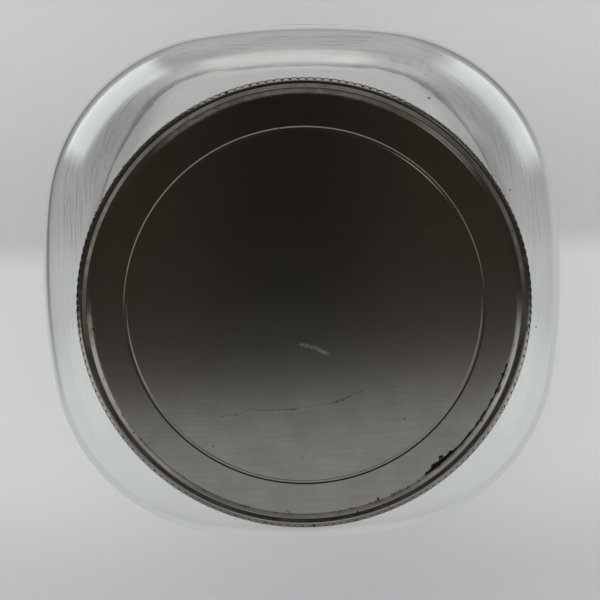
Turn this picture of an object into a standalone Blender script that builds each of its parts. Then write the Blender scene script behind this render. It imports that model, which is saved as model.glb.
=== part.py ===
"""Square glass storage jar with a pressed metal screw lid and a board liner.

Metres, +Z up. The jar stands on its base ring at z = 0 with its axis on Z.
The sides face +X, -X, +Y and -Y, and the lid and its liner sit on the mouth.
"""

import math

import bmesh
import bpy

# Running and seating gap between neighbours
SEAT_GAP = 0.0003

# Glass body
GLASS_HEIGHT = 0.1618
BODY_WIDTH = 0.1440
SIDE_SPAN = 0.054
SIDE_BOW_RADIUS = 0.160
SIDE_WALL = 0.0022
CORNER_WALL = 0.0017
HEEL_RADIUS = 0.010
BASE_RING_WIDTH = 0.004
PUSH_UP = 0.0042
BASE_THICKNESS = 0.0046
SHOULDER_DROP = 0.0170
SHOULDER_WALL = 0.0026
SHOULDER_LEAVE = math.radians(70)
NECK_FILLET_SHARE = 0.22

# Neck and finish
FINISH_RADIUS = 0.0536
FINISH_WALL = 0.0032
LIP_RADIUS = 0.0010
NECK_LENGTH = 0.0014
BEAD_PROUD = 0.0017
BEAD_HEIGHT = 0.0030
LID_FOOT_GAP = 0.0012

# Room that the screw thread takes between the finish and the lid's skirt
THREAD_DEPTH = 0.0012
THREAD_CLEARANCE = 0.0007

# Pressed lid
SHEET = 0.0003
LID_HEIGHT = 0.0140
PANEL_RISE = 0.0010
RING_RADIUS = 0.04475
RING_WIDTH = 0.0013
RING_HEIGHT = 0.0004
STEP_WIDTH = 0.0011
GROOVE_WIDTH = 0.00125
RISER_WIDTH = 0.0006
RIM_FLAT = 0.0003
RIM_INSET = 0.0003
RIM_RISE = 0.0008
RIM_DROP = 0.0006
RIM_BREAK = 0.35
KNURL_PROUD = 0.0013
KNURL_DEPTH = 0.00045
KNURL_HEIGHT = 0.0048
KNURL_RUNOUT = 0.0008
CURL_RADIUS = 0.00065
CURL_WRAP = math.radians(225)

# Liner
LINER_THICKNESS = 0.0012
LINER_EDGE = 0.0002

# Facets
JAR_SEGMENTS = 64
LID_SEGMENTS = 72
KNURL_POINTS_PER_SEGMENT = 5
DOME_STEPS = 4
HEEL_STEPS = 5
SHOULDER_STEPS = 7
FILLET_STEPS = 4
BEAD_STEPS = 6
LIP_STEPS = 3
PRESS_STEPS = 4
RIM_STEPS = 3
CURL_STEPS = 8
SMOOTH_ANGLE = math.radians(38)

# Heights that follow from the sizes above
LINER_BOTTOM = GLASS_HEIGHT + SEAT_GAP
LINER_TOP = LINER_BOTTOM + LINER_THICKNESS
GROOVE_TOP = LINER_TOP + SEAT_GAP + SHEET
LID_TOP = GROOVE_TOP + PANEL_RISE
LID_FOOT = LID_TOP - LID_HEIGHT
BEAD_TOP = LID_FOOT - LID_FOOT_GAP
NECK_FOOT = BEAD_TOP - BEAD_HEIGHT - NECK_LENGTH
WALL_END = NECK_FOOT - SHOULDER_DROP

# Radii that follow from the sizes above
BORE_RADIUS = FINISH_RADIUS - FINISH_WALL
SKIRT_INNER = FINISH_RADIUS + THREAD_DEPTH + THREAD_CLEARANCE
SKIRT_OUTER = SKIRT_INNER + SHEET
KNURL_CREST = SKIRT_OUTER + KNURL_PROUD
KNURL_ROOT = KNURL_CREST - KNURL_DEPTH
RIM_RADIUS = KNURL_ROOT - RIM_INSET
RISER_RADIUS = RIM_RADIUS - RIM_FLAT - RISER_WIDTH
GROOVE_RADIUS = RISER_RADIUS - GROOVE_WIDTH
PANEL_RADIUS = GROOVE_RADIUS - STEP_WIDTH


def clear_scene():
    """Remove every object, so that the script starts from nothing."""
    for old in list(bpy.data.objects):
        bpy.data.objects.remove(old, do_unlink=True)


def make_material(name, colour, roughness, metallic=0.0, transmission=0.0):
    """A Principled material with one colour and one finish."""
    material = bpy.data.materials.new(name)
    material.use_nodes = True
    shader = material.node_tree.nodes["Principled BSDF"]
    shader.inputs["Base Color"].default_value = (*colour, 1.0)
    shader.inputs["Roughness"].default_value = roughness
    shader.inputs["Metallic"].default_value = metallic
    shader.inputs["Transmission Weight"].default_value = transmission
    return material


def circle(radius):
    """Outline of a round ring: the same radius at every angle."""
    return lambda angle: radius


def body_outline(angle):
    """Polar radius of the body's outside: four bowed sides joined by four corner arcs.

    Each side is an arc of SIDE_BOW_RADIUS, SIDE_SPAN long. The corner arc is tangent
    to the two sides that it joins, which fixes its radius and its centre on the diagonal.
    """
    half_width = BODY_WIDTH / 2
    half_span = SIDE_SPAN / 2
    turn = math.asin(half_span / SIDE_BOW_RADIUS)
    joint_x = half_width - SIDE_BOW_RADIUS * (1 - math.cos(turn))
    corner_radius = (joint_x - half_span) / (math.cos(turn) - math.sin(turn))
    corner_centre = half_span - corner_radius * math.sin(turn)
    fold = abs((angle + math.pi / 4) % (math.pi / 2) - math.pi / 4)
    if fold < math.atan2(half_span, joint_x):
        centre = half_width - SIDE_BOW_RADIUS
        across = centre * math.sin(fold)
        return centre * math.cos(fold) + math.sqrt(SIDE_BOW_RADIUS ** 2 - across ** 2)
    across = corner_centre * (math.cos(fold) - math.sin(fold))
    along = corner_centre * (math.cos(fold) + math.sin(fold))
    return along + math.sqrt(corner_radius ** 2 - across ** 2)


def cavity_outline(angle):
    """Polar radius of the body's inside: the wall thins from the sides to the corners."""
    corner_share = math.sin(2 * angle) ** 2
    wall = SIDE_WALL + (CORNER_WALL - SIDE_WALL) * corner_share
    return body_outline(angle) - wall


def inset(outline, distance):
    """The same outline, moved in by a distance."""
    return lambda angle: outline(angle) - distance


def shrink(outline, share):
    """The same outline, scaled towards the axis."""
    return lambda angle: outline(angle) * share


def swell(neck_radius, outline, share):
    """An outline between a round neck (share 0) and a body outline (share 1)."""
    return lambda angle: neck_radius + (outline(angle) - neck_radius) * share


def heel_rings(outline, foot, radius):
    """Rings of the rounded heel, from the flat foot out and up to the wall."""
    rings = []
    for step in range(HEEL_STEPS + 1):
        turn = math.pi / 2 * step / HEEL_STEPS
        rings.append((inset(outline, radius * (1 - math.sin(turn))),
                      foot + radius * (1 - math.cos(turn))))
    return rings


def shoulder_rings(neck_radius, outline, wall_end, neck_foot):
    """Rings from the top of the wall over the shoulder to the foot of the neck.

    The shoulder is a quarter ellipse up to SHOULDER_LEAVE, where a parabola with the
    same tangent turns it up into the neck. Both are shares of the way out from the
    neck, so the section grows from round to square as it spreads.
    """
    leave = SHOULDER_LEAVE
    fillet_height = NECK_FILLET_SHARE * (neck_foot - wall_end)
    rise = (neck_foot - fillet_height - wall_end) / math.sin(leave)
    rings = []
    for step in range(SHOULDER_STEPS + 1):
        turn = leave * step / SHOULDER_STEPS
        rings.append((swell(neck_radius, outline, math.cos(turn)),
                      wall_end + rise * math.sin(turn)))
    start_height = wall_end + rise * math.sin(leave)
    middle_height = start_height + rise * math.cos(leave) ** 2 / math.sin(leave)
    for step in range(1, FILLET_STEPS + 1):
        along = step / FILLET_STEPS
        back = 1 - along
        height = (back ** 2 * start_height + 2 * along * back * middle_height
                  + along ** 2 * neck_foot)
        rings.append((swell(neck_radius, outline, math.cos(leave) * back ** 2), height))
    return rings


def dome_rings(outline, edge_height, centre_height):
    """Rings of a shallow dome inside an outline, from near its centre to its edge."""
    rings = []
    for step in range(1, DOME_STEPS + 1):
        share = step / DOME_STEPS
        fall = (1 - math.cos(math.pi * share)) / 2
        height = centre_height + (edge_height - centre_height) * fall
        rings.append((shrink(outline, share), height))
    return rings


def lip_rings(outer_radius, inner_radius, top, radius):
    """Rings over the rounded rim of the mouth, from its outside to its inside."""
    rings = []
    for step in range(LIP_STEPS + 1):
        turn = math.pi / 2 * step / LIP_STEPS
        rings.append((circle(outer_radius - radius * (1 - math.cos(turn))),
                      top - radius * (1 - math.sin(turn))))
    for step in range(LIP_STEPS + 1):
        turn = math.pi / 2 * step / LIP_STEPS
        rings.append((circle(inner_radius + radius * (1 - math.sin(turn))),
                      top - radius * (1 - math.cos(turn))))
    return rings


def bead_rings(radius, proud, foot, height):
    """Rings of a half-round bead that stands out from a round neck."""
    rings = []
    for step in range(BEAD_STEPS + 1):
        turn = math.pi * step / BEAD_STEPS
        rings.append((circle(radius + proud * math.sin(turn)),
                      foot + height * (1 - math.cos(turn)) / 2))
    return rings


def ring_points(outline, height, count):
    """Points of one ring, anticlockwise seen from above."""
    points = []
    for index in range(count):
        angle = 2 * math.pi * index / count
        radius = outline(angle)
        points.append((radius * math.cos(angle), radius * math.sin(angle), height))
    return points


def join_rings(bm, first, second):
    """Faces between two rings of the same count, or of counts one a multiple of the other."""
    coarse_count = min(len(first), len(second))
    share = max(len(first), len(second)) // coarse_count
    middle = (share + 1) // 2
    for index in range(coarse_count):
        after = (index + 1) % coarse_count
        if share == 1:
            bm.faces.new((first[index], first[after], second[after], second[index]))
            continue
        fine = second if len(second) > len(first) else first
        run = [fine[(index * share + step) % len(fine)] for step in range(share + 1)]
        for step in range(share):
            near = index if step < middle else after
            if fine is second:
                bm.faces.new((first[near], run[step + 1], run[step]))
            else:
                bm.faces.new((run[step], run[step + 1], second[near]))
        if fine is second:
            bm.faces.new((first[index], first[after], run[middle]))
        else:
            bm.faces.new((run[middle], second[after], second[index]))


def loft(name, rings, start_height, end_height, material, origin_height=0.0):
    """One closed body: two poles on the axis with rings between them.

    The rings run from the lower face's centre outwards, round the rim and back to
    the upper face's centre, which turns every face outwards.
    """
    bm = bmesh.new()
    start = bm.verts.new((0.0, 0.0, start_height - origin_height))
    loops = []
    for outline, height, count in rings:
        points = ring_points(outline, height - origin_height, count)
        loops.append([bm.verts.new(point) for point in points])
    end = bm.verts.new((0.0, 0.0, end_height - origin_height))
    for index, vertex in enumerate(loops[0]):
        bm.faces.new((start, loops[0][(index + 1) % len(loops[0])], vertex))
    for first, second in zip(loops, loops[1:]):
        join_rings(bm, first, second)
    for index, vertex in enumerate(loops[-1]):
        bm.faces.new((vertex, loops[-1][(index + 1) % len(loops[-1])], end))
    mesh = bpy.data.meshes.new(name)
    bm.to_mesh(mesh)
    bm.free()
    mesh.materials.append(material)
    mesh.shade_smooth()
    mesh.set_sharp_from_angle(angle=SMOOTH_ANGLE)
    piece = bpy.data.objects.new(name, mesh)
    piece.location = (0.0, 0.0, origin_height)
    bpy.context.scene.collection.objects.link(piece)
    return piece


def with_count(rings, count):
    """The same rings, each with the number of points that it is drawn with."""
    return [(outline, height, count) for outline, height in rings]


def make_glass_body():
    """The blown jar: push-up base, heel, square body, shoulder, neck bead and finish."""
    base_edge = inset(body_outline, HEEL_RADIUS + BASE_RING_WIDTH)
    floor_edge_height = BASE_THICKNESS
    floor_centre_height = PUSH_UP + BASE_THICKNESS
    inner_heel = HEEL_RADIUS - SIDE_WALL
    floor_edge = inset(cavity_outline, inner_heel)

    outside = dome_rings(base_edge, 0.0, PUSH_UP)
    outside += heel_rings(body_outline, 0.0, HEEL_RADIUS)
    outside += shoulder_rings(FINISH_RADIUS, body_outline, WALL_END, NECK_FOOT)
    outside += bead_rings(FINISH_RADIUS, BEAD_PROUD, BEAD_TOP - BEAD_HEIGHT, BEAD_HEIGHT)
    outside += lip_rings(FINISH_RADIUS, BORE_RADIUS, GLASS_HEIGHT, LIP_RADIUS)

    inside = dome_rings(floor_edge, floor_edge_height, floor_centre_height)[:-1]
    inside += heel_rings(cavity_outline, floor_edge_height, inner_heel)
    inside += shoulder_rings(BORE_RADIUS, cavity_outline, WALL_END - SHOULDER_WALL / 2,
                             NECK_FOOT - SHOULDER_WALL)
    inside.reverse()

    glass = make_material("clear_glass", (0.93, 0.96, 0.95), 0.02, transmission=1.0)
    rings = with_count(outside + inside, JAR_SEGMENTS)
    return loft("glass_body", rings, PUSH_UP, floor_centre_height, glass)


def offset_profile(points, distance):
    """A profile moved to its right-hand side by a distance, with mitred corners."""
    moved = []
    for index, (radius, height) in enumerate(points):
        before = points[max(index - 1, 0)]
        after = points[min(index + 1, len(points) - 1)]
        normals = []
        for start, end in ((before, (radius, height)), ((radius, height), after)):
            step = (end[0] - start[0], end[1] - start[1])
            length = math.hypot(*step)
            if length > 0:
                normals.append((step[1] / length, -step[0] / length))
        mean = (sum(normal[0] for normal in normals), sum(normal[1] for normal in normals))
        size = math.hypot(*mean)
        unit = (mean[0] / size, mean[1] / size)
        stretch = unit[0] * normals[0][0] + unit[1] * normals[0][1]
        moved.append((radius + unit[0] * distance / stretch,
                      height + unit[1] * distance / stretch))
    return moved


def panel_profile():
    """Upper side of the lid, from inside the stacking ring to the outside of the rim.

    It is the flat panel with its raised ring, the step down to the flat groove, the
    riser and the narrow flat top of the rim, as radius and height.
    """
    points = []
    for step in range(PRESS_STEPS + 1):
        share = step / PRESS_STEPS
        lift = RING_HEIGHT * math.sin(math.pi * share) ** 2
        points.append((RING_RADIUS + RING_WIDTH * (share - 0.5), LID_TOP + lift))
    for step in range(PRESS_STEPS + 1):
        share = step / PRESS_STEPS
        fall = (1 - math.cos(math.pi * share)) / 2
        points.append((PANEL_RADIUS + STEP_WIDTH * share, LID_TOP - PANEL_RISE * fall))
    for step in range(RIM_STEPS + 1):
        share = step / RIM_STEPS
        lift = RIM_RISE * (1 - math.cos(math.pi * share)) / 2
        points.append((RISER_RADIUS + RISER_WIDTH * share, GROOVE_TOP + lift))
    points.append((RIM_RADIUS, GROOVE_TOP + RIM_RISE))
    return points


def make_lid(parent):
    """The pressed screw lid: one thin sheet, with a knurled band and a rolled foot.

    The knurl is a band of upright flutes, drawn with five points to a facet of the
    rest of the lid. The thread is rolled into the plain skirt below it.
    """
    upper = panel_profile()
    rim_top = upper[-1][1]
    knurl_top = rim_top - RIM_DROP
    knurl_foot = knurl_top - KNURL_HEIGHT
    skirt_top = knurl_foot - KNURL_RUNOUT
    upper.append((KNURL_ROOT, rim_top - RIM_BREAK * RIM_DROP))
    sheet_under = offset_profile(upper, SHEET)

    inside = [(circle(radius), height, LID_SEGMENTS) for radius, height in sheet_under]
    inside += [(circle(KNURL_ROOT - SHEET), knurl_top, LID_SEGMENTS),
               (circle(KNURL_ROOT - SHEET), knurl_foot, LID_SEGMENTS),
               (circle(SKIRT_INNER), skirt_top, LID_SEGMENTS)]

    curl_height = LID_FOOT + CURL_RADIUS
    curl = []
    for step in range(CURL_STEPS + 1):
        turn = math.pi + CURL_WRAP * step / CURL_STEPS
        curl.append((circle(SKIRT_INNER + CURL_RADIUS * (1 + math.cos(turn))),
                     curl_height + CURL_RADIUS * math.sin(turn), LID_SEGMENTS))

    knurl_count = LID_SEGMENTS * KNURL_POINTS_PER_SEGMENT

    def flutes(angle):
        point = round(angle * knurl_count / (2 * math.pi))
        return KNURL_CREST if point % 2 else KNURL_ROOT

    curl_top = curl_height + 2 * CURL_RADIUS
    outside = [(circle(SKIRT_OUTER), curl_top, LID_SEGMENTS),
               (circle(SKIRT_OUTER), skirt_top, LID_SEGMENTS),
               (flutes, knurl_foot, knurl_count),
               (flutes, knurl_top, knurl_count)]
    outside += [(circle(radius), height, LID_SEGMENTS) for radius, height in reversed(upper)]

    steel = make_material("satin_metal", (0.50, 0.48, 0.45), 0.28, metallic=1.0)
    lid = loft("screw_lid", inside + curl + outside, LID_TOP - SHEET, LID_TOP, steel, LID_TOP)
    lid.parent = parent
    lid.location.z = LID_TOP - parent.location.z
    return lid


def make_liner(parent):
    """The board disc inside the lid that seals on the mouth."""
    radius = SKIRT_INNER - SEAT_GAP
    rings = [(circle(radius - LINER_EDGE), LINER_BOTTOM),
             (circle(radius), LINER_BOTTOM + LINER_EDGE),
             (circle(radius), LINER_TOP - LINER_EDGE),
             (circle(radius - LINER_EDGE), LINER_TOP)]
    board = make_material("liner_board", (0.82, 0.79, 0.71), 0.75)
    liner = loft("sealing_liner", with_count(rings, LID_SEGMENTS), LINER_BOTTOM, LINER_TOP,
                 board, LINER_BOTTOM)
    liner.parent = parent
    liner.location.z = LINER_BOTTOM - parent.location.z
    return liner


def make_closure_axis():
    """The empty that carries the closure, on the jar's axis at the top of the mouth."""
    axis = bpy.data.objects.new("closure_axis", None)
    axis.location = (0.0, 0.0, GLASS_HEIGHT)
    axis.empty_display_size = FINISH_RADIUS
    bpy.context.scene.collection.objects.link(axis)
    return axis


def main():
    clear_scene()
    make_glass_body()
    closure = make_closure_axis()
    make_liner(closure)
    make_lid(closure)


main()
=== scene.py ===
"""Looks of a square glass storage jar with a pressed metal screw lid.

Metres, +Z up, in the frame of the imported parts. The camera looks down on the lid from the
photograph's own angle, so the picture's upper side is +Y and its right side is +X.
"""

import math

import bpy
import numpy as np
from mathutils import Matrix, Vector


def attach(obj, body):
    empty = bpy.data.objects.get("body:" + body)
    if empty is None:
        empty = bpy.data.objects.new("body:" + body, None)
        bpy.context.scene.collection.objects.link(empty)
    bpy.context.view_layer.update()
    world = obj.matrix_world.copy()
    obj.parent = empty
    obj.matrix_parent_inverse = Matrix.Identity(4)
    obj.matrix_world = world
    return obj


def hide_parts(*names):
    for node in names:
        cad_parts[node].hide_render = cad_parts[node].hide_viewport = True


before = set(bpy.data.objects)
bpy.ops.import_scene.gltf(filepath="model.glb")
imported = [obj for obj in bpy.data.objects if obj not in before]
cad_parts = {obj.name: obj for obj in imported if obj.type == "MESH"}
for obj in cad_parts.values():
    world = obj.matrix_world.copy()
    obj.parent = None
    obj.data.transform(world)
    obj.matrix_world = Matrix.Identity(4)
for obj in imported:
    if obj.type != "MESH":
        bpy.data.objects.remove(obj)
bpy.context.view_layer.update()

MM = 1000.0  # millimetres in a metre
DEGREES = 180 / math.pi  # degrees in a radian

# Glass body, as in the part's own sizes
GLASS_HEIGHT = 0.1618
BODY_WIDTH = 0.1440
SIDE_SPAN = 0.054
SIDE_BOW_RADIUS = 0.160
SIDE_WALL = 0.0022
CORNER_WALL = 0.0017
HEEL_RADIUS = 0.010
BASE_RING_WIDTH = 0.004
PUSH_UP = 0.0042
BASE_THICKNESS = 0.0046
WALL_END = 0.1283
NECK_FOOT = 0.1453
SHOULDER_WALL = 0.0026
SHOULDER_LEAVE = math.radians(70)
NECK_FILLET_SHARE = 0.22
FINISH_RADIUS = 0.0536
BORE_RADIUS = 0.0504
LIP_RADIUS = 0.0010
BEAD_PROUD = 0.0017
BEAD_HEIGHT = 0.0030
BEAD_TOP = 0.1497

# Columns and rows of points on the glass, the same outside and inside
JAR_COLUMNS = 384
DOME_ROWS = 9
HEEL_ROWS = 12
SHOULDER_ROWS = 26

# Unevenness of the blown glass: the slow ripple inside the wall, and the heel's
GLASS_RIPPLE = 0.000025
HEEL_WOBBLE = 0.00018

# Screw thread, the same helix on the finish and in the lid
THREAD_LEAD = 0.00508
THREAD_FOOT = 0.1545
GLASS_THREAD_DEPTH = 0.0012
GLASS_THREAD_HALF = 0.00125
GLASS_THREAD_TURNS = (0.0, 0.95)
LID_THREAD_DEPTH = 0.00115
LID_THREAD_HALF = 0.0011
LID_THREAD_DROP = 0.0017
LID_THREAD_TURNS = (0.13, 0.88)
THREAD_FADE = 0.05
THREAD_CLEARANCE = 0.0008
THREAD_LIP_FADE = 0.0006

# Pressed lid
LID_TOP = 0.1649
SHEET = 0.0003
RING_RADIUS = 0.0448
RING_HALF_WIDTH = 0.00055
RING_DEPTH = 0.00008
LID_COLUMNS = 720
KNURL_COUNT = 180
KNURL_DEPTH = 0.00045
CURL_TURN = math.radians(290)

# Section of the lid's sheet along its middle line, in millimetres: at each corner from the
# panel's edge to the skirt, the radius, the depth below the lid's top, the radius of the
# bend and its count of points
HALF_SHEET = SHEET * MM / 2
CREST = 57.1 - HALF_SHEET
SKIRT = 55.8 - HALF_SHEET
LID_RIM = (
    (53.20, HALF_SHEET, 1.10, 6),
    (54.38, HALF_SHEET + 0.425, 0.40, 4),
    (54.68, HALF_SHEET + 0.425, 0.40, 4),
    (55.56, HALF_SHEET + 0.140, 0.45, 4),
    (56.05, HALF_SHEET + 0.140, 0.55, 4),
    (CREST, HALF_SHEET + 0.465, 0.22, 5),
    (CREST, 5.5, 0.40, 4),
    (SKIRT, 6.4, 0.40, 4),
)
BENDS_ABOVE_KNURL = 6
LID_DEPTH = 14.0
CURL_RADIUS = 0.65
# The knurl in the same way: the depths where it starts and ends, how far it takes to fade
# in and out, the depths of its rows, and the radius inside which there is none
KNURL_START, KNURL_FADE_IN = 0.35, 0.85
KNURL_END, KNURL_FADE_OUT = 6.1, 0.7
KNURL_ROWS = (0.70, 0.85, 1.0, 1.2, 1.45, 2.2, 3.2, 4.2, 4.9)
KNURL_INSIDE = 56.1
# The lid's thread is pressed only within this radius and below this depth
THREAD_OUTSIDE, THREAD_START = 55.9, 6.2

# Liner
LINER_BOTTOM = 0.1621
LINER_THICKNESS = 0.0012
LINER_RADIUS = 0.0552
SEAL_MARK_DEPTH = 0.00012
LINER_EDGE = 0.0002
LINER_COLUMNS = 180

# Camera, from the photograph's perspective: pixels of a 600 pixel picture, with the lid's
# distance in metres and the sensor's width in millimetres
PICTURE = 600
FOCAL = 1260.0
VANISHING_POINT = (286.0, 110.0)
ROLL = math.radians(1.6)
LID_CENTRE = (304.6, 308.8)
LID_DISTANCE = 0.315
SENSOR = 36.0

# Floor and studio: colours in linear light, lengths in metres and directions in degrees
# The floor's tones are painted light and shade: darker at the back, in a band under the jar, at
# the front and far off, and brightest in the middle
FLOOR_FAR = (0.522, 0.519, 0.521, 1.0)
FLOOR_BACK = (0.575, 0.568, 0.567, 1.0)
FLOOR_SHADE = (0.488, 0.483, 0.483, 1.0)
FLOOR_MIDDLE = (0.622, 0.619, 0.624, 1.0)
FLOOR_FRONT = (0.482, 0.479, 0.487, 1.0)
FLOOR_LEVEL = 0.97
FLOOR_HALF = 18.0
FLOOR_DROP = 0.0001
# Where one tone of the floor gives way to the next: along y, and outwards for the last
BACK_TO_CREASE = (0.085, 0.0)
CREASE_TO_MIDDLE = (0.004, -0.010)
MIDDLE_TO_FRONT = (-0.080, -0.145)
NEAR_TO_FAR = (0.14, 0.26)
# What glass mirrors of the floor: where a dark strip begins, the strip's azimuth, half
# width and soft edge, and where the studio takes over
DARK_STRIP = (0.22, 0.34)
DARK_STRIP_SECTOR = (110, 85, 15)
FLOOR_TO_STUDIO = (0.45, 1.0)
# What the camera sees beyond the floor, and what lights matt surfaces
BACKGROUND = (0.550, 0.548, 0.550, 1.0)
EVEN_LIGHT = (0.800, 0.800, 0.800, 1.0)
# Key lamp: its azimuth and elevation, its distance, and its size and radiance
KEY_DIRECTION = (105.0, 60.0)
KEY_DISTANCE = 1.4
KEY_SIZE = 0.9
KEY_RADIANCE = 2.0
# The brightest that satin metal sees the room, which keeps it from clipping to white
SATIN_LIMIT = (1.10, 1.08, 1.05)
# The room that glass and metal mirror, and the elevations over which it turns pale
ROOM_DARK = (0.040, 0.040, 0.042, 1.0)
ROOM_PALE = (0.620, 0.620, 0.605, 1.0)
ROOM_RISE = (40.0, 66.0)
# The dark ceiling that the lid mirrors. Its edges are soft and lie in the plane one unit
# above the lid, apart from the lowest elevation that it reaches.
CEILING_MIDDLE = (0.026, 0.023, 0.019, 1.0)
CEILING_SIDE = (0.066, 0.050, 0.038, 1.0)
CEILING_FRONT = (-0.252, -0.212)
CEILING_BACK = (1.10, 0.85)
CEILING_ENDS = (1.35, 0.95)
CEILING_LOWEST = (20.0, 34.0)
CEILING_MIDDLE_EDGE = (0.02, 0.11)
CEILING_SLANT = 0.05
# Panels of the studio: name; azimuth, half width and its soft edge; lowest and highest
# elevation and their soft edge; and the colour
ROOM_PANELS = (
    ("front_sweep", (-90, 40, 10), (-30, 37, 4), (0.440, 0.440, 0.435, 1.0)),
    ("front_wall", (-80, 30, 10), (37, 58, 5), (0.270, 0.265, 0.260, 1.0)),
    ("front_gap", (-126, 14, 6), (49, 65, 4), (0.050, 0.048, 0.045, 1.0)),
    ("left_fill", (-142, 23, 4), (-30, 49, 5), (0.620, 0.650, 0.670, 1.0)),
    ("left_fill_top", (-153, 12, 4), (20, 50, 6), (1.080, 1.120, 1.100, 1.0)),
    ("right_fill", (-39, 24, 5), (-30, 44, 6), (0.620, 0.640, 0.650, 1.0)),
    ("right_fill_top", (-29, 12, 5), (20, 43, 6), (1.080, 1.120, 1.120, 1.0)),
    ("back_strip", (89, 30, 5), (37, 47, 3), (1.300, 1.250, 1.150, 1.0)),
    ("back_panel", (91, 16, 4), (26, 46, 3), (3.300, 2.900, 2.750, 1.0)),
    ("back_right_strip", (37, 10, 4), (50, 64, 3), (1.000, 0.930, 0.860, 1.0)),
    ("left_softbox", (139, 20, 4), (-30, 30, 5), (3.850, 4.000, 4.080, 1.0)),
    ("right_softbox", (36, 21, 6), (-30, 29, 9), (3.500, 3.650, 3.750, 1.0)),
)


# Shader maths

class Value:
    """A socket in a node tree. Arithmetic on it adds Math nodes to the tree."""

    def __init__(self, nodes, socket):
        self.nodes = nodes
        self.socket = socket

    def math(self, operation, *others):
        """One Math node with this value first and the others after it."""
        values = dict(enumerate((self, *others)))
        return self.nodes.add("ShaderNodeMath", {"operation": operation}, values)

    def flipped(self, operation, other):
        """One Math node with this value second."""
        return self.nodes.add("ShaderNodeMath", {"operation": operation}, {0: other, 1: self})

    def __add__(self, other):
        return self.math("ADD", other)

    def __sub__(self, other):
        return self.math("SUBTRACT", other)

    def __mul__(self, other):
        return self.math("MULTIPLY", other)

    def __truediv__(self, other):
        return self.math("DIVIDE", other)

    def __pow__(self, other):
        return self.math("POWER", other)

    def __radd__(self, other):
        return self.flipped("ADD", other)

    def __rsub__(self, other):
        return self.flipped("SUBTRACT", other)

    def __rmul__(self, other):
        return self.flipped("MULTIPLY", other)

    def __rtruediv__(self, other):
        return self.flipped("DIVIDE", other)

    def __abs__(self):
        return self.math("ABSOLUTE")

    def at_most(self, other):
        return self.math("MINIMUM", other)

    def at_least(self, other):
        return self.math("MAXIMUM", other)

    def ramp(self, low, high):
        """0 at low, 1 at high and a smooth step between; low may be the larger."""
        settings = {"interpolation_type": "SMOOTHSTEP"}
        values = {"Value": self, "From Min": low, "From Max": high}
        if low > high:
            values = {"Value": self, "From Min": high, "From Max": low,
                      "To Min": 1.0, "To Max": 0.0}
        return self.nodes.add("ShaderNodeMapRange", settings, values)

    def near(self, centre, reach):
        """1 where this value is at the centre, falling smoothly to 0 at the reach."""
        return abs(self - centre).ramp(reach, 0.0)

    def within(self, low, high, edge):
        """1 between low and high, with soft edges."""
        return self.ramp(low - edge, low + edge) * self.ramp(high + edge, high - edge)


class Nodes:
    """The node tree of one material or world, and the one way that nodes are added to it."""

    def __init__(self, tree):
        self.tree = tree
        self.tree.nodes.clear()

    def add(self, kind, settings=None, values=None, output=0):
        """A node of a kind, with its settings made first and then its sockets filled."""
        node = self.tree.nodes.new(kind)
        for name, setting in (settings or {}).items():
            setattr(node, name, setting)
        for key, value in (values or {}).items():
            socket = node.inputs[key]
            if isinstance(value, Value):
                self.tree.links.new(value.socket, socket)
            else:
                socket.default_value = value
        return Value(self, node.outputs[output])

    def place(self, coordinates="Object"):
        """The coordinates as one vector and as x, y and z."""
        vector = self.add("ShaderNodeTexCoord", output=coordinates)
        parts = [self.add("ShaderNodeSeparateXYZ", None, {0: vector}, output=axis)
                 for axis in range(3)]
        return vector, *parts

    def stretch(self, vector, scale):
        """A vector with each axis multiplied by its own scale."""
        return self.add("ShaderNodeMapping", None, {"Vector": vector, "Scale": scale})

    def noise(self, vector, scale, detail=2.0, roughness=0.5):
        """Noise from 0 to 1, with its scale in cells a metre."""
        values = {"Vector": vector, "Scale": scale, "Detail": detail, "Roughness": roughness}
        return self.add("ShaderNodeTexNoise", {"noise_dimensions": "3D"}, values)

    def blend(self, factor, first, second):
        """The first colour where the factor is 0 and the second where it is 1."""
        settings = {"data_type": "RGBA", "blend_type": "MIX"}
        values = {"Factor": factor, 6: first, 7: second}
        return self.add("ShaderNodeMix", settings, values, output=2)

    def bump(self, height, strength=1.0):
        """A normal from a height in metres."""
        values = {"Height": height, "Strength": strength, "Distance": 1.0}
        return self.add("ShaderNodeBump", None, values, output="Normal")

    def finish(self, shader, kind="ShaderNodeOutputMaterial"):
        """The tree's output, with the shader on its surface."""
        self.tree.links.new(shader.socket, self.tree.nodes.new(kind).inputs["Surface"])


def greatest(masks):
    """The greatest of several masks."""
    result = masks[0]
    for mask in masks[1:]:
        result = result.at_least(mask)
    return result


def colour(red, green, blue):
    """A colour in linear light, with its alpha."""
    return (red, green, blue, 1.0)


def new_material(name):
    """A material with an empty node tree, and the tree."""
    material = bpy.data.materials.new(name)
    material.use_nodes = True
    return material, Nodes(material.node_tree)


# Glass, metal and board

# Marks on the lid in millimetres from its centre: x, y, reach and how dark each is
LID_SPOTS = (
    (-15.6, -50.9, 0.28, 0.8), (0.9, -56.4, 0.50, 0.95), (-25.4, -13.8, 0.25, 0.8),
    (-24.2, -34.6, 0.28, 0.6), (17.5, -49.7, 0.38, 0.9), (24.6, -28.9, 0.25, 0.5),
    (-56.5, 2.1, 0.45, 0.9), (-52.8, -3.6, 0.55, 0.9), (-42.4, -32.4, 0.38, 0.8),
    (-44.2, -30.6, 0.32, 0.7), (-5.1, 44.7, 0.28, 0.8), (49.5, -18.2, 0.45, 0.95),
    (12.2, -53.0, 0.30, 0.8), (7.6, -53.6, 0.24, 0.7), (-1.6, -38.2, 0.20, 0.4),
    (31.5, 18.6, 0.22, 0.5), (9.4, 24.8, 0.20, 0.4), (-33.0, -20.4, 0.22, 0.5),
    (15.6, -50.8, 0.32, 0.9),
)
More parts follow.
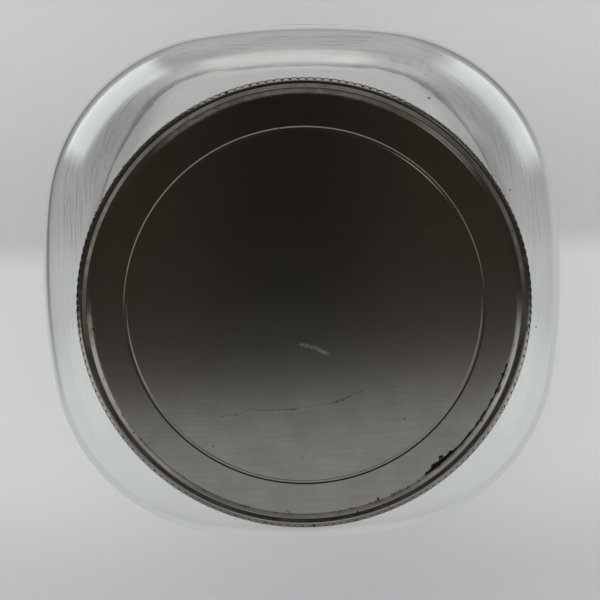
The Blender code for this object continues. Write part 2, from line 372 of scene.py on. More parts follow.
# A thin wandering scratch across the lower half, two shorter marks and a speck, as points in
# millimetres
LONG_SCRATCH = ((-22.1, -26.9), (-18.0, -26.6), (-14.5, -25.5), (-8.0, -25.6), (-1.9, -25.4),
                (3.4, -24.9), (8.3, -23.4), (12.4, -21.8), (16.0, -21.0))
SCUFF = ((-1.4, -8.9), (2.2, -10.0), (5.6, -11.7))
HOOK_SCRATCH = ((-6.4, -52.0), (-5.5, -52.4), (-4.7, -53.9))
OLIVE_SPECK = (15.8, -50.2)
# Radii on the lid in millimetres: the chips' outer edge, the painted shade line at the panel's
# edge, the groove with dirt and painted shade, and where the painted shade in the knurl's hollows
# begins
CHIP_EDGE = 53.12
EDGE_LINE = 53.48
SHADED_SOILED_GROOVE = (54.55, 55.60)
HOLLOWS_BEGIN = (56.2, 56.4)

# Tinplate: its two clouded tones and its grain, and then what lies on it
TIN_PALE = colour(0.322, 0.312, 0.292)
TIN_DEEP = colour(0.288, 0.276, 0.256)
TIN_GRAIN = colour(0.262, 0.254, 0.240)
RUST = colour(0.200, 0.115, 0.078)
# Dirt with painted shade, for the groove
GROOVE_DIRT_AND_SHADE = colour(0.140, 0.135, 0.130)
# Grime, and painted shade for the knurl's hollows and the panel's edge
GRIME_AND_SHADE = colour(0.030, 0.026, 0.023)
BRIGHT_SCUFF = colour(0.50, 0.49, 0.47)
CHIPPED = colour(0.018, 0.016, 0.014)
OLIVE = colour(0.18, 0.16, 0.04)

# Glass: its tint, its seeds, and what it lets through of a lamp
GLASS_TINT = colour(0.952, 0.972, 0.966)
SEED_TINT = colour(0.05, 0.05, 0.05)
GLASS_SHADOW = colour(0.93, 0.95, 0.945)
# Where each seed lies on the shoulder, and its reach
GLASS_SEEDS = (((0.0344, 0.0513, 0.1415), 0.00045), ((0.0556, 0.0266, 0.1414), 0.00035),
               ((0.0628, -0.0107, 0.1402), 0.00035))

# Board: two tones of its fibre, two of the paper on its face, and the seal's mark
BOARD_DEEP = colour(0.62, 0.56, 0.45)
BOARD_PALE = colour(0.74, 0.69, 0.58)
PAPER_DEEP = colour(0.80, 0.77, 0.69)
PAPER_PALE = colour(0.86, 0.83, 0.76)
SEAL_MARK = colour(0.55, 0.50, 0.42)


def make_glass():
    """Clear blown glass: faint grey-green, wavy skin, seeds and a dull stippled foot."""
    material, nodes = new_material("blown_glass")
    vector, x, y, z = nodes.place()
    reach = (x * x + y * y) ** 0.5
    turn = y.math("ARCTAN2", x)
    wave = nodes.noise(nodes.stretch(vector, (1.0, 1.0, 0.35)), 55.0, 1.0)
    round_jar = nodes.add("ShaderNodeCombineXYZ", None, {0: turn * 0.018, 1: reach, 2: z})
    swirl = nodes.noise(round_jar, 300.0, 2.0)
    dimple = nodes.noise(vector, 420.0, 2.0)
    foot = z.ramp(0.0030, 0.0010)
    chill = z.ramp(0.016, 0.006)
    wall = z.ramp(WALL_END, WALL_END - 0.012)
    stipple = nodes.add("ShaderNodeTexVoronoi", {"feature": "F1"},
                        {"Vector": vector, "Scale": 900.0}, output="Distance")
    frosted = z.ramp(0.014, 0.004) * (0.05 + 0.30 * dimple)
    height = (wave * 0.00003 + swirl * (0.000010 + wall * 0.00003)
              + dimple * (0.000001 + wall * 0.00001 + chill * 0.00008)
              + stipple.ramp(0.45, 0.1) * foot * 0.00018)

    def seed(place, size):
        apart = nodes.add("ShaderNodeVectorMath", {"operation": "DISTANCE"},
                          {0: vector, 1: place}, output="Value")
        return apart.ramp(size, size * 0.5)

    seeds = greatest([seed(place, size) for place, size in GLASS_SEEDS])
    tint = nodes.blend(seeds, GLASS_TINT, SEED_TINT)
    glass = nodes.add("ShaderNodeBsdfPrincipled", None, {
        "Base Color": tint, "Roughness": frosted, "IOR": 1.5, "Transmission Weight": 1.0,
        "Normal": nodes.bump(height)})
    clear = nodes.add("ShaderNodeBsdfTransparent", None, {"Color": GLASS_SHADOW})
    lamp_ray = nodes.add("ShaderNodeLightPath", output="Is Shadow Ray")
    nodes.finish(nodes.add("ShaderNodeMixShader", None, {0: lamp_ray, 1: glass, 2: clear}))
    return material


def line_mask(x, y, points, reach):
    """1 on a line through points: the greatest of each stretch's nearness to it."""

    def stretch(start, end):
        (ax, ay), (bx, by) = start, end
        length = math.hypot(bx - ax, by - ay)
        ux, uy = (bx - ax) / length, (by - ay) / length
        along = (x - ax) * ux + (y - ay) * uy
        across = (x - ax) * -uy + (y - ay) * ux
        return abs(across).ramp(reach, 0.0) * along.within(0.0, length, 0.2)

    return greatest([stretch(start, end) for start, end in zip(points, points[1:])])


def make_metal():
    """Aged satin tinplate: fine grain, dirt and painted shade in the groove, painted shade in the
    knurl's hollows and along the panel's edge, worn rim, chips and scratches.

    Masks are in millimetres from the lid's axis and in degrees round it, and heights in
    metres.
    """
    material, nodes = new_material("satin_tinplate")
    vector, x, y, z = nodes.place()
    x, y = x * MM, y * MM
    reach = (x * x + y * y) ** 0.5
    turn = y.math("ARCTAN2", x) * DEGREES
    top = z.ramp(LID_TOP - 0.0030, LID_TOP - 0.0026)

    grain = nodes.noise(nodes.stretch(vector, (0.05, 1.0, 1.0)), 1500.0, 3.0)
    mottle = nodes.noise(vector, 110.0, 4.0, 0.62)
    fine = nodes.noise(vector, 1300.0, 3.0, 0.6)
    patch = nodes.noise(vector, 420.0, 2.0, 0.6)
    coarse = nodes.noise(vector, 24.0, 2.0)
    ragged = fine.ramp(0.40, 0.60)
    patchy = patch.ramp(0.42, 0.62)

    groove = reach.within(*SHADED_SOILED_GROOVE, 0.15)
    # A painted shade line along the panel's edge, on the lower half
    edge_line = reach.near(EDGE_LINE, 0.45) * turn.within(-150.0, -16.0, 16.0)
    # Painted shade in the knurl's hollows
    hollows = (turn * (KNURL_COUNT / DEGREES)).math("COSINE").ramp(-0.1, 0.9)
    hollows = hollows * z.within(LID_TOP - 0.0062, LID_TOP - 0.00028, 0.00010)
    hollows = hollows * reach.ramp(*HOLLOWS_BEGIN)

    wander = (patchy - 0.6) * 0.22 + (ragged - 0.5) * 0.45
    chip_width = 0.34 + 1.05 * turn.near(-50.0, 6.5)
    chips = reach + chip_width * (1.0 + wander) + (fine - 0.5) * 0.5
    chips = (chips.ramp(CHIP_EDGE - 0.18, CHIP_EDGE - 0.02)
             * reach.ramp(CHIP_EDGE + 0.06, CHIP_EDGE - 0.06))
    chips = chips * (turn + (patch - 0.5) * 6.0).within(-56.0, -17.0, 0.8)
    crumbs = reach.near(53.2, 0.55) * turn.within(-88.0, -57.0, 3.0) * patchy * ragged
    crumbs = crumbs + reach.near(53.4, 0.5) * patch.ramp(0.60, 0.66) * ragged
    speck = ((((x - OLIVE_SPECK[0]) * 0.5) ** 2.0 + (y - OLIVE_SPECK[1]) ** 2.0) ** 0.5
             + (fine - 0.5) * 2.4).ramp(0.55, 0.15)
    rust = (reach.within(53.1, 54.5, 0.35).at_least(groove * 0.2)
            * (turn.near(-176.0, 7.0) + turn.near(88.0, 60.0) * 0.5 + coarse.ramp(0.55, 0.7) * 0.6)
            * (0.5 + 0.5 * patchy)).at_most(1.0)
    nicks = reach.within(55.8, 57.2, 0.3) * patch.ramp(0.62, 0.70)

    def spot(across, up, size, depth):
        away = ((x - across) ** 2.0 + (y - up) ** 2.0) ** 0.5
        return (away + (fine - 0.5) * size * 1.6).ramp(size, size * 0.45) * depth

    spots = greatest([spot(*place) for place in LID_SPOTS])
    wobble_x, wobble_y = x + (patch - 0.5) * 1.6, y + (mottle - 0.5) * 2.4
    broken = mottle.ramp(0.42, 0.62)
    thin = line_mask(wobble_x, wobble_y, LONG_SCRATCH, 0.30)
    wide = line_mask(wobble_x, wobble_y, LONG_SCRATCH, 0.62)
    scratch = thin * (0.08 + 0.55 * broken) * (0.4 + 0.6 * ragged)
    scratch = scratch.at_least(wide * broken * patchy * ragged)
    beside = line_mask(wobble_x, wobble_y + 0.55, LONG_SCRATCH, 0.40)
    hook = line_mask(x, y, HOOK_SCRATCH, 0.20)
    scuff = line_mask(x + (fine - 0.5), y, SCUFF, 0.75) * (0.3 + 0.7 * ragged)

    # Dirt and painted shade in the groove, patchy
    soiled_and_shaded = groove * (0.10 + 0.45 * mottle.ramp(0.44, 0.62) + 0.40 * patchy * ragged) * top
    dark = (edge_line * (0.15 + 0.35 * patchy)).at_least(scratch * 0.80).at_least(hook * 0.75)
    dark = (dark * top).at_least(hollows * (0.65 + 0.30 * patchy))
    black = (chips + spots + crumbs * 0.9 + nicks * 0.7).at_most(1.0) * top

    base = nodes.blend(mottle.ramp(0.30, 0.70), TIN_PALE, TIN_DEEP)
    base = nodes.blend(grain.ramp(0.35, 0.70) * 0.35, base, TIN_GRAIN)
    base = nodes.blend(rust * 0.55 * top, base, RUST)
    base = nodes.blend(soiled_and_shaded, base, GROOVE_DIRT_AND_SHADE)
    base = nodes.blend(dark, base, GRIME_AND_SHADE)
    base = nodes.blend((scuff * 0.34 + beside * 0.12) * top, base, BRIGHT_SCUFF)
    base = nodes.blend(black, base, CHIPPED)
    base = nodes.blend(speck * top, base, OLIVE)

    roughness = (0.100 + grain * 0.03 + mottle * 0.05 + dark * 0.30 + scuff * 0.20 * top
                 + rust * 0.20 * top + black * 0.35 + soiled_and_shaded * 0.15)
    metallic = 1.0 - rust * 0.2 * top - speck * top - soiled_and_shaded * 0.10
    height = (grain * 0.0000006 + mottle * 0.0000040 + fine * 0.0000006
              - (scratch * 0.000006 + spots * 0.00003 + chips * 0.00003) * top)
    metal = nodes.add("ShaderNodeBsdfPrincipled", None, {
        "Base Color": base, "Roughness": roughness.at_most(0.85),
        "Metallic": metallic.at_least(0.0), "Normal": nodes.bump(height)})
    nodes.finish(metal)
    return material


def make_board():
    """Waxed pulp board: grey-buff fibres, a lighter paper face below, a pressed seal mark."""
    material, nodes = new_material("pulp_board")
    vector, x, y, z = nodes.place()
    fibre = nodes.noise(nodes.stretch(vector, (1.0, 0.3, 1.0)), 1400.0, 3.0, 0.6)
    cloud = nodes.noise(vector, 60.0, 3.0)
    reach = (x * x + y * y) ** 0.5
    seal = reach.within(BORE_RADIUS, FINISH_RADIUS, 0.0003)
    face = z.ramp(LINER_BOTTOM + 0.0004, LINER_BOTTOM + 0.0001)
    board = nodes.blend(fibre, BOARD_DEEP, BOARD_PALE)
    paper = nodes.blend(cloud, PAPER_DEEP, PAPER_PALE)
    base = nodes.blend(face, board, paper)
    base = nodes.blend(seal * face * 0.35, base, SEAL_MARK)
    height = fibre * 0.00003 + cloud * 0.00002
    nodes.finish(nodes.add("ShaderNodeBsdfPrincipled", None, {
        "Base Color": base, "Roughness": 0.62 + fibre * 0.2, "Normal": nodes.bump(height, 0.6)}))
    return material


# Surfaces

def smooth(value):
    """The smooth step 3t^2 - 2t^3, with t held between 0 and 1."""
    t = np.clip(value, 0.0, 1.0)
    return t * t * (3.0 - 2.0 * t)


def revolve(name, points, material):
    """A closed surface from rows of points round the axis.

    The first and the last row are single points on the axis, and each face joins point
    (row, column) to the next column and the next row, so the rows run from the middle of
    the underside outwards, up and back to the middle of the upper side.
    """
    rows, columns = points.shape[:2]
    ring = np.arange(1, rows - 1)[:, None] * columns + np.arange(columns)[None, :] - columns + 1
    after = np.roll(ring, -1, axis=1)
    quads = np.stack([ring[:-1], after[:-1], after[1:], ring[1:]], axis=-1).reshape(-1, 4)
    last = (rows - 2) * columns + 1
    first_fan = np.stack([np.zeros(columns, int), after[0], ring[0]], axis=-1)
    last_fan = np.stack([ring[-1], after[-1], np.full(columns, last)], axis=-1)
    corners = np.concatenate([points[0, :1], points[1:-1].reshape(-1, 3), points[-1, :1]])

    loops = np.concatenate([quads.ravel(), first_fan.ravel(), last_fan.ravel()])
    sizes = np.concatenate([np.full(len(quads), 4), np.full(2 * columns, 3)])
    mesh = bpy.data.meshes.new(name)
    mesh.vertices.add(len(corners))
    mesh.vertices.foreach_set("co", corners.astype(np.float32).ravel())
    mesh.loops.add(len(loops))
    mesh.loops.foreach_set("vertex_index", loops.astype(np.int32))
    mesh.polygons.add(len(sizes))
    mesh.polygons.foreach_set("loop_start", (np.cumsum(sizes) - sizes).astype(np.int32))
    mesh.polygons.foreach_set("loop_total", sizes.astype(np.int32))
    mesh.update(calc_edges=True)
    mesh.validate()
    mesh.materials.append(material)
    mesh.shade_smooth()
    piece = bpy.data.objects.new(name, mesh)
    bpy.context.scene.collection.objects.link(piece)
    return piece


def around(radius, height, angle):
    """Points at a radius and a height for each angle; radius may change round the ring."""
    radius = np.broadcast_to(radius, (np.shape(height)[0], len(angle)))
    level = np.broadcast_to(height, radius.shape)
    return np.stack([radius * np.cos(angle), radius * np.sin(angle), level], axis=-1)


def body_radius(angle):
    """Polar radius of the body: four bowed sides joined by four tangent corner arcs.

    A side is part of a circle of the bow radius, and a corner is part of the circle
    that touches both its sides, with its centre on the diagonal.
    """
    half_width, half_span = BODY_WIDTH / 2, SIDE_SPAN / 2
    turn = math.asin(half_span / SIDE_BOW_RADIUS)
    joint = half_width - SIDE_BOW_RADIUS * (1 - math.cos(turn))
    corner = (joint - half_span) / (math.cos(turn) - math.sin(turn))
    centre = half_span - corner * math.sin(turn)
    fold = np.abs((angle + math.pi / 4) % (math.pi / 2) - math.pi / 4)
    back = half_width - SIDE_BOW_RADIUS
    side = back * np.cos(fold) + np.sqrt(SIDE_BOW_RADIUS ** 2 - (back * np.sin(fold)) ** 2)
    across = centre * (np.cos(fold) - np.sin(fold))
    along = centre * (np.cos(fold) + np.sin(fold))
    return np.where(fold < math.atan2(half_span, joint), side,
                    along + np.sqrt(corner ** 2 - across ** 2))


def helix_bump(angle, height, foot, half, turns):
    """Height of a thread from 0 to 1: a rounded ridge about a line that climbs one lead a
    turn, faded out at both ends."""
    bump = np.zeros(np.broadcast_shapes(np.shape(height), np.shape(angle)))
    for lap in (0, 1):
        turn = angle / (2 * math.pi) + lap
        away = np.abs(height - foot - THREAD_LEAD * turn) / half
        ends = smooth((turn - turns[0]) / THREAD_FADE) * smooth((turns[1] - turn) / THREAD_FADE)
        ridge = np.cos(np.clip(away, 0, 1) * math.pi / 2) ** 1.3
        bump = np.maximum(bump, ridge * ends)
    return bump


def heel_rows(foot, radius, count):
    """A quarter circle from the foot out to the wall, as inset from the wall and height."""
    turn = np.linspace(0, math.pi / 2, count)
    return -radius * (1 - np.sin(turn)), np.ones(count), foot + radius * (1 - np.cos(turn))


def dome_rows(inset, edge, centre, count):
    """A shallow cosine dome, scaled out from the axis to an edge inside the wall."""
    share = np.linspace(0, 1, count)
    return -share * inset, share, centre + (edge - centre) * (1 - np.cos(math.pi * share)) / 2


def shoulder_rows(neck, wall_end, neck_foot, count, fillet_count):
    """A quarter ellipse up from the wall, then a parabola with the same tangent into the
    neck; the section grows from the round neck to the square wall by its share."""
    leave = SHOULDER_LEAVE
    rise = (neck_foot - wall_end) * (1 - NECK_FILLET_SHARE) / math.sin(leave)
    turn = np.linspace(0, leave, count)
    along = np.linspace(0, 1, fillet_count + 1)[1:]
    start = wall_end + rise * math.sin(leave)
    middle = start + rise * math.cos(leave) ** 2 / math.sin(leave)
    share = np.concatenate([np.cos(turn), math.cos(leave) * (1 - along) ** 2])
    height = np.concatenate([
        wall_end + rise * np.sin(turn),
        (1 - along) ** 2 * start + 2 * along * (1 - along) * middle + along ** 2 * neck_foot])
    return neck * (1 - share), share, height


def round_rows(radius, height):
    """Rows of a round part: a fixed radius and none of the body's outline."""
    return np.asarray(radius, float), np.zeros(len(radius)), np.asarray(height, float)


def stack(*parts):
    """Several runs of rows as one."""
    return tuple(np.concatenate(column)[:, None] for column in zip(*parts))


def heel_wobble(angle, height, start):
    """Unevenness of the blown heel in metres: a sum of short waves round the jar, which
    fades out up the wall."""
    waves = (np.sin(9 * angle + start) + np.sin(23 * angle + 2.3 * start + 1.0)
             + np.sin(41 * angle + 3.1 * start + 2.0) + np.sin(67 * angle + start + 4.0))
    return HEEL_WOBBLE * (1.0 + waves / 4) * smooth(1.0 - height / (1.4 * HEEL_RADIUS))


def make_glass_walls(material):
    """The jar's glass as one closed surface: radius = fixed + share x outline(angle).

    The outside adds the thread, and the inside a slow ripple that the blown wall has,
    from a few waves round the jar and along it.
    """
    angle = np.arange(JAR_COLUMNS) * 2 * math.pi / JAR_COLUMNS
    outline = body_radius(angle)[None, :]
    inner_outline = outline - (SIDE_WALL + (CORNER_WALL - SIDE_WALL) * np.sin(2 * angle) ** 2)

    wall = np.linspace(HEEL_RADIUS, WALL_END, 30)[1:-1]
    turn = np.linspace(0, math.pi, 13)
    bead = (FINISH_RADIUS + BEAD_PROUD * np.sin(turn),
            BEAD_TOP - BEAD_HEIGHT + BEAD_HEIGHT * (1 - np.cos(turn)) / 2)
    finish = np.linspace(BEAD_TOP, GLASS_HEIGHT - LIP_RADIUS, 58)[1:-1]
    lip = np.linspace(0, math.pi / 2, 6)
    fixed, share, height = stack(
        dome_rows(HEEL_RADIUS + BASE_RING_WIDTH, 0.0, PUSH_UP, DOME_ROWS),
        heel_rows(0.0, HEEL_RADIUS, HEEL_ROWS),
        (np.zeros(len(wall)), np.ones(len(wall)), wall),
        shoulder_rows(FINISH_RADIUS, WALL_END, NECK_FOOT, SHOULDER_ROWS, 8),
        round_rows(*bead),
        round_rows(np.full(len(finish), FINISH_RADIUS), finish),
        round_rows(FINISH_RADIUS - LIP_RADIUS * (1 - np.cos(lip)),
                   GLASS_HEIGHT - LIP_RADIUS * (1 - np.sin(lip))))
    radius = fixed + share * outline - share * heel_wobble(angle, height, 0.0)
    over_bead = smooth((height - BEAD_TOP - THREAD_CLEARANCE) / THREAD_CLEARANCE)
    under_lip = smooth((GLASS_HEIGHT - LIP_RADIUS - height) / THREAD_LIP_FADE + 1)
    on_finish = (share == 0) * over_bead * under_lip
    thread = helix_bump(angle, height, THREAD_FOOT, GLASS_THREAD_HALF, GLASS_THREAD_TURNS)
    radius = radius + GLASS_THREAD_DEPTH * thread * on_finish
    outside = around(radius, height, angle)

    inner_heel = HEEL_RADIUS - SIDE_WALL
    inner_wall_end = WALL_END - SHOULDER_WALL / 2
    wall = np.linspace(BASE_THICKNESS + inner_heel, inner_wall_end, 26)[1:-1]
    bore = np.linspace(NECK_FOOT - SHOULDER_WALL, GLASS_HEIGHT - LIP_RADIUS, 6)[1:-1]
    # The last row of the inner dome is the heel's first, so it is left out
    dome = dome_rows(inner_heel, BASE_THICKNESS, PUSH_UP + BASE_THICKNESS, DOME_ROWS)
    fixed, share, height = stack(
        tuple(column[:-1] for column in dome),
        heel_rows(BASE_THICKNESS, inner_heel, HEEL_ROWS),
        (np.zeros(len(wall)), np.ones(len(wall)), wall),
        shoulder_rows(BORE_RADIUS, inner_wall_end, NECK_FOOT - SHOULDER_WALL, SHOULDER_ROWS, 6),
        round_rows(np.full(len(bore), BORE_RADIUS), bore),
        round_rows(BORE_RADIUS + LIP_RADIUS * (1 - np.cos(lip)),
                   GLASS_HEIGHT - LIP_RADIUS * (1 - np.sin(lip))))
    ripple = (np.sin(5 * angle + 0.7 + 38 * height) * np.sin(61 * height + 1.1)
              + 0.7 * np.sin(9 * angle + 2.1 - 55 * height)
              + 0.5 * np.sin(17 * angle + 4.0 + 24 * height) * np.sin(90 * height))
    radius = fixed + share * (inner_outline + GLASS_RIPPLE * ripple
                              - heel_wobble(angle, height - BASE_THICKNESS, 1.7))
    inside = around(radius, height, angle)

    piece = revolve("jar_glass", np.concatenate([outside, inside[::-1]]), material)
    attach(piece, "jar")
    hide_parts("glass_body")


def fillet(before, corner, after, radius, count):
    """Points of the arc that touches both straight runs at a corner.

    The arc starts and ends at radius x tan(half the turn) from the corner, and its
    points lie at even angles round its centre.
    """
    before, corner, after = (np.asarray(point, float) for point in (before, corner, after))
    into = (corner - before) / np.linalg.norm(corner - before)
    out = (after - corner) / np.linalg.norm(after - corner)
    bend = math.atan2(into[0] * out[1] - into[1] * out[0], float(into @ out))
    side = math.copysign(1.0, bend)
    start = corner - into * radius * math.tan(abs(bend) / 2)
    centre = start + side * radius * np.array([-into[1], into[0]])
    turn = np.linspace(0, bend, count)[:, None]
    spoke = start - centre
    turned = np.concatenate([np.cos(turn) * spoke[0] - np.sin(turn) * spoke[1],
                             np.sin(turn) * spoke[0] + np.cos(turn) * spoke[1]], axis=1)
    return centre + turned


def run(start, end, count):
    """Even points on a straight run, without its two ends."""
    share = np.linspace(0, 1, count + 2)[1:-1, None]
    return np.asarray(start) * (1 - share) + np.asarray(end) * share


def lid_section():
    """Middle line of the lid's sheet in millimetres from the lid's top, centre to curl.

    Straight runs joined by arcs. The fine ring is a shallow groove pressed in with a
    smooth step on each side. Returns the points, with the weight of the knurl and of the
    thread at each.
    """
    flat = -HALF_SHEET
    curl_radius = CURL_RADIUS - HALF_SHEET
    curl_centre = np.array([SKIRT + curl_radius, CURL_RADIUS - LID_DEPTH])
    corners = [(0.0, flat), *((radius, -depth) for radius, depth, _, _ in LID_RIM),
               (SKIRT, curl_centre[1])]
    arcs = [fillet(*corners[index:index + 3], bend, count)
            for index, (_, _, bend, count) in enumerate(LID_RIM)]

    panel = np.array([[0.0, flat], [10.0, flat], [28.0, flat]])
    ring = np.concatenate([[-1.12], np.linspace(-1, 1, 13), [1.12]])
    pressed = smooth((1.0 - np.abs(ring)) / 0.62)
    ring_points = np.stack([RING_RADIUS * MM + RING_HALF_WIDTH * MM * ring,
                            flat - RING_DEPTH * MM * pressed], axis=1)
    panel_end = arcs[0][:1] - (0.08, 0.0)
    knurl = np.stack([np.full(len(KNURL_ROWS), CREST), -np.array(KNURL_ROWS)], axis=1)
    turn = math.pi + np.linspace(0, CURL_TURN, 13)[:, None]
    curl = curl_centre + curl_radius * np.concatenate([np.cos(turn), np.sin(turn)], axis=1)
    skirt_run = run(arcs[-1][-1], curl[0], 17)

    points = np.concatenate([panel, ring_points, panel_end, *arcs[:BENDS_ABOVE_KNURL], knurl,
                             *arcs[BENDS_ABOVE_KNURL:], skirt_run, curl])
    radius, depth = points[:, 0], -points[:, 1]
    on_skirt = np.arange(len(points)) < len(points) - len(curl)
    knurled = (smooth((depth - KNURL_START) / KNURL_FADE_IN)
               * smooth((KNURL_END - depth) / KNURL_FADE_OUT)
               * (radius > KNURL_INSIDE) * on_skirt)
    threaded = (radius < THREAD_OUTSIDE) & (depth > THREAD_START) & on_skirt
    return points, knurled, threaded.astype(float)


def make_pressed_lid(material):
    """The lid as one thin sheet: both faces are the middle line moved half a sheet along
    its normal, then turned round the axis with the flutes and the thread pressed in."""
    section, knurled, threaded = lid_section()
    ahead = np.gradient(section, axis=0)
    ahead /= np.linalg.norm(ahead, axis=1, keepdims=True)
    normal = np.stack([-ahead[:, 1], ahead[:, 0]], axis=1)
    normal[0] = (0.0, 1.0)
    angle = np.arange(LID_COLUMNS) * 2 * math.pi / LID_COLUMNS
    flute = np.maximum(np.cos(KNURL_COUNT * angle), 0.0)[None, :]

    def face(side, picked):
        place = section[picked] + normal[picked] * side * HALF_SHEET
        radius = place[:, :1] / MM
        height = LID_TOP + place[:, 1:] / MM
        thread = helix_bump(angle, height, THREAD_FOOT - LID_THREAD_DROP, LID_THREAD_HALF,
                            LID_THREAD_TURNS)
        radius = (radius - KNURL_DEPTH * flute * knurled[picked, None]
                  - LID_THREAD_DEPTH * thread * threaded[picked, None])
        return around(radius, height, angle)

    # The hidden inner face has about half as many rows
    every = np.arange(len(section))
    inner_picks = np.unique(np.concatenate([every[:1], every[3:-1:2], every[-1:]]))
    points = np.concatenate([face(-1, inner_picks), face(1, every[::-1])])
    piece = revolve("pressed_lid", points, material)
    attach(piece, "lid")
    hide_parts("screw_lid")


def make_board_liner(material):
    """The liner: a profile turned round the axis, with a round edge and with the mark of the
    mouth pressed into its face as a smooth step up and down."""
    angle = np.arange(LINER_COLUMNS) * 2 * math.pi / LINER_COLUMNS
    seal = np.linspace(BORE_RADIUS - 0.0004, FINISH_RADIUS + 0.0004, 12)
    middle = (BORE_RADIUS + FINISH_RADIUS) / 2
    mark = SEAL_MARK_DEPTH * smooth(1.25 - np.abs(seal - middle) / (seal[-1] - middle))
    turn = np.linspace(-math.pi / 2, math.pi / 2, 9)
    top = LINER_BOTTOM + LINER_THICKNESS
    edge_radius = LINER_RADIUS - LINER_EDGE + LINER_EDGE * np.cos(turn)
    edge_height = np.where(turn < 0, LINER_BOTTOM + LINER_EDGE, top - LINER_EDGE)
    edge_height = edge_height + LINER_EDGE * np.sin(turn)
    middle_radii = np.array([0.0, 0.02, 0.04])
    radius = np.concatenate([middle_radii, seal, edge_radius, middle_radii[::-1]])
    height = np.concatenate([np.full(3, LINER_BOTTOM), LINER_BOTTOM + mark, edge_height,
                             np.full(3, top)])
    piece = revolve("board_liner", around(radius[:, None], height[:, None], angle), material)
    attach(piece, "liner")
    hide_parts("sealing_liner")


# Stage

def light_kinds(nodes):
    """What a ray is: one that the camera sees, one that passes right through the glass (both
    its walls, so more than two surfaces; in part, one that runs inside a single wall), or
    one that lights a matt surface."""
    seen = nodes.add("ShaderNodeLightPath", output="Is Camera Ray")
    depth = nodes.add("ShaderNodeLightPath", output="Transmission Depth")
    both_walls, one_wall = depth.ramp(2.2, 2.8), depth.ramp(1.2, 1.8)
    matt = nodes.add("ShaderNodeLightPath", output="Diffuse Depth").ramp(0.2, 0.8)
    return seen, both_walls.at_least(one_wall * 0.3), matt


def satin_ray(nodes):
    """1 for a ray that a rough metal such as the lid's mirrors, and 0 for a sharp one."""
    sharp = nodes.add("ShaderNodeLightPath", output="Is Singular Ray")
    glossy = nodes.add("ShaderNodeLightPath", output="Glossy Depth").ramp(0.2, 0.8)
    return glossy * (1.0 - sharp)


def sector(turn, azimuth, half, edge):
    """1 within half degrees of an azimuth, either way round, with soft edges."""
    away = abs((turn - azimuth + 540.0).math("FLOORED_MODULO", 360.0) - 180.0)
    return away.ramp(half + edge, half - edge)


def with_panels(nodes, room, turn, lift):
    """The room with its panels over it; without an elevation, only those that reach the
    floor, which stand on beyond it."""
    for _, place, (low, top, soft), tone in ROOM_PANELS:
        mask = sector(turn, *place)
        if lift is not None:
            mask = mask * lift.within(low, top, soft)
        if lift is not None or low < 0:
            room = nodes.blend(mask, room, tone)
    return room


def make_floor():
    """A pale matt floor with the jar's soft shadow on it.

    Glass sees the floor as a glow, a painted light. Through the glass it is somewhat dimmer, with
    painted shadow, at the back, at the back corners and at the middle of the front. What it
    mirrors of the floor gives way to the studio beyond it, and to a dark strip at the back, which
    gives the glass its dark edges.
    """
    material, nodes = new_material("pale_floor")
    _, x, y, _ = nodes.place()
    reach = (x * x + y * y) ** 0.5
    # Painted light and shade: the floor's tones from the back to the front and far off
    tone = nodes.blend(y.ramp(*BACK_TO_CREASE), FLOOR_BACK, FLOOR_SHADE)
    tone = nodes.blend(y.ramp(*CREASE_TO_MIDDLE), tone, FLOOR_MIDDLE)
    tone = nodes.blend(y.ramp(*MIDDLE_TO_FRONT), tone, FLOOR_FRONT)
    tone = nodes.blend(reach.ramp(*NEAR_TO_FAR), tone, FLOOR_FAR)
    seen, through, matt = light_kinds(nodes)
    turn = y.math("ARCTAN2", x) * DEGREES
    strip = reach.ramp(*DARK_STRIP) * sector(turn, *DARK_STRIP_SECTOR)
    mirrored = nodes.blend(strip, tone, ROOM_DARK)
    mirrored = nodes.blend(reach.ramp(*FLOOR_TO_STUDIO), mirrored,
                           with_panels(nodes, ROOM_DARK, turn, None))
    # Painted shadow on the floor that glass shows: dimmer at the back, the back corners and the
    # front's middle
    back_corners = abs(x).ramp(0.045, 0.060) * y.ramp(-0.030, 0.045)
    front_middle = abs(x).ramp(0.035, 0.0) * y.ramp(-0.045, -0.060)
    dimmed = nodes.blend(y.ramp(-0.060, -0.025) * 0.45, tone, FLOOR_SHADE)
    dimmed = nodes.blend(back_corners * 0.32, dimmed, ROOM_DARK)
    dimmed = nodes.blend(front_middle * 0.22, dimmed, ROOM_DARK)
    shown = nodes.blend(through, mirrored, dimmed)
    paint = nodes.add("ShaderNodeBsdfPrincipled", None, {
        "Base Color": tone, "Roughness": 0.85, "Specular IOR Level": 0.0})
    # The floor glows for rays through glass and off glass and metal: a painted light that stands
    # in for the lit floor
    glow = nodes.add("ShaderNodeEmission", None, {"Color": shown, "Strength": FLOOR_LEVEL})
    plain = seen.at_least(matt)
    nodes.finish(nodes.add("ShaderNodeMixShader", None, {0: plain, 1: glow, 2: paint}))
    material.cycles.emission_sampling = "NONE"
    low, high = -FLOOR_HALF, FLOOR_HALF
    mesh = bpy.data.meshes.new("floor")
    mesh.from_pydata([(low, low, -FLOOR_DROP), (high, low, -FLOOR_DROP),
                      (high, high, -FLOOR_DROP), (low, high, -FLOOR_DROP)], [], [(0, 1, 2, 3)])
    mesh.materials.append(material)
    floor = bpy.data.objects.new("floor", mesh)
    bpy.context.scene.collection.objects.link(floor)


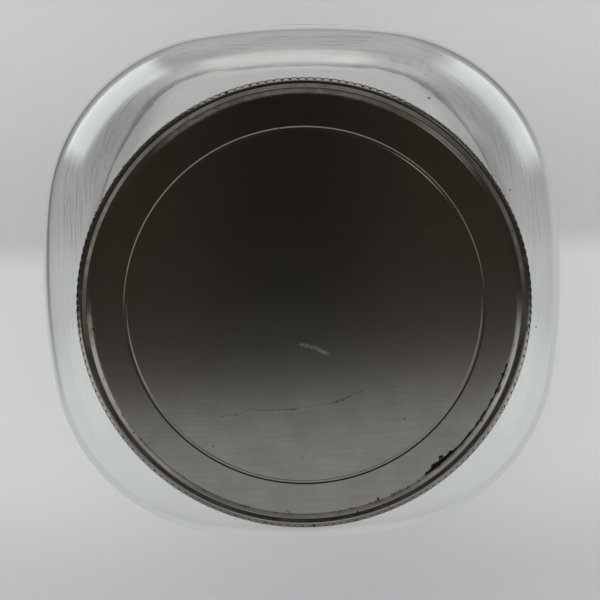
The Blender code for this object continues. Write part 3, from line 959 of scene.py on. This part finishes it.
def make_key_lamp():
    """One soft lamp high at the back, which lays the jar's soft shadow forwards."""
    lamp = bpy.data.lights.new("key_lamp", "AREA")
    lamp.shape = "DISK"
    lamp.size = KEY_SIZE
    lamp.energy = KEY_RADIANCE * math.pi * math.pi * KEY_SIZE ** 2 / 4
    turn, lift = math.radians(KEY_DIRECTION[0]), math.radians(KEY_DIRECTION[1])
    away = Vector((math.cos(turn) * math.cos(lift), math.sin(turn) * math.cos(lift),
                   math.sin(lift)))
    box = bpy.data.objects.new("key_lamp", lamp)
    box.location = away * KEY_DISTANCE
    box.rotation_euler = away.to_track_quat("Z", "Y").to_euler()
    box.visible_camera = box.visible_transmission = box.visible_glossy = False
    bpy.context.scene.collection.objects.link(box)


def make_world():
    """A soft studio by direction.

    Matt surfaces get an even light, and the camera an even pale background, also through
    the glass. Glass and metal mirror a room with softboxes, and a dark ceiling over the lid;
    satin metal sees that room only up to a limit.
    """
    world = bpy.data.worlds.new("studio")
    world.use_nodes = True
    nodes = Nodes(world.node_tree)
    _, x, y, z = nodes.place("Generated")
    lift = z.math("ARCSINE") * DEGREES
    turn = y.math("ARCTAN2", x) * DEGREES
    high = z.at_least(0.02)
    across = abs(x / high)
    along = y / high - x / high * CEILING_SLANT

    room = nodes.blend(lift.ramp(*ROOM_RISE), ROOM_DARK, ROOM_PALE)
    ceiling = (along.ramp(*CEILING_FRONT) * along.ramp(*CEILING_BACK)
               * across.ramp(*CEILING_ENDS) * lift.ramp(*CEILING_LOWEST))
    dark = nodes.blend(across.ramp(*CEILING_MIDDLE_EDGE), CEILING_MIDDLE, CEILING_SIDE)
    room = nodes.blend(ceiling, room, dark)
    room = with_panels(nodes, room, turn, lift)
    soft = nodes.add("ShaderNodeVectorMath", {"operation": "MINIMUM"}, {0: room, 1: SATIN_LIMIT})
    room = nodes.blend(satin_ray(nodes), room, soft)

    seen, through, matt = light_kinds(nodes)
    light = nodes.blend(seen.at_least(through), room, BACKGROUND)
    light = nodes.blend(matt, light, EVEN_LIGHT)
    nodes.finish(nodes.add("ShaderNodeBackground", None, {"Color": light, "Strength": 1.0}),
                 "ShaderNodeOutputWorld")
    bpy.context.scene.world = world


def make_camera():
    """A camera that sees the jar as the photograph does.

    The jar's upright lines meet at the vanishing point, which gives the direction of its
    axis in the camera's own axes; the roll gives the turn about it, and the lid's centre
    and distance give the place.
    """
    middle = PICTURE / 2

    def ray(pixel):
        return Vector((pixel[0] - middle, middle - pixel[1], -FOCAL))

    up = -ray(VANISHING_POINT).normalized()
    right = Vector((math.cos(ROLL), math.sin(ROLL), 0.0))
    right = (right - up * right.dot(up)).normalized()
    turn = Matrix((right, up.cross(right), up)).transposed()
    centre = ray(LID_CENTRE) * (LID_DISTANCE / FOCAL)
    offset = centre - turn @ Vector((0.0, 0.0, LID_TOP))
    data = bpy.data.cameras.new("camera")
    data.sensor_fit = "HORIZONTAL"
    data.sensor_width = SENSOR
    data.lens = FOCAL / PICTURE * SENSOR
    data.clip_start = 0.01
    camera = bpy.data.objects.new("camera", data)
    camera.matrix_world = (Matrix.Translation(offset) @ turn.to_4x4()).inverted()
    bpy.context.scene.collection.objects.link(camera)
    bpy.context.scene.camera = camera


bpy.context.scene.view_settings.view_transform = "Standard"

make_glass_walls(make_glass())
make_pressed_lid(make_metal())
make_board_liner(make_board())
make_floor()
make_key_lamp()
make_world()
make_camera()
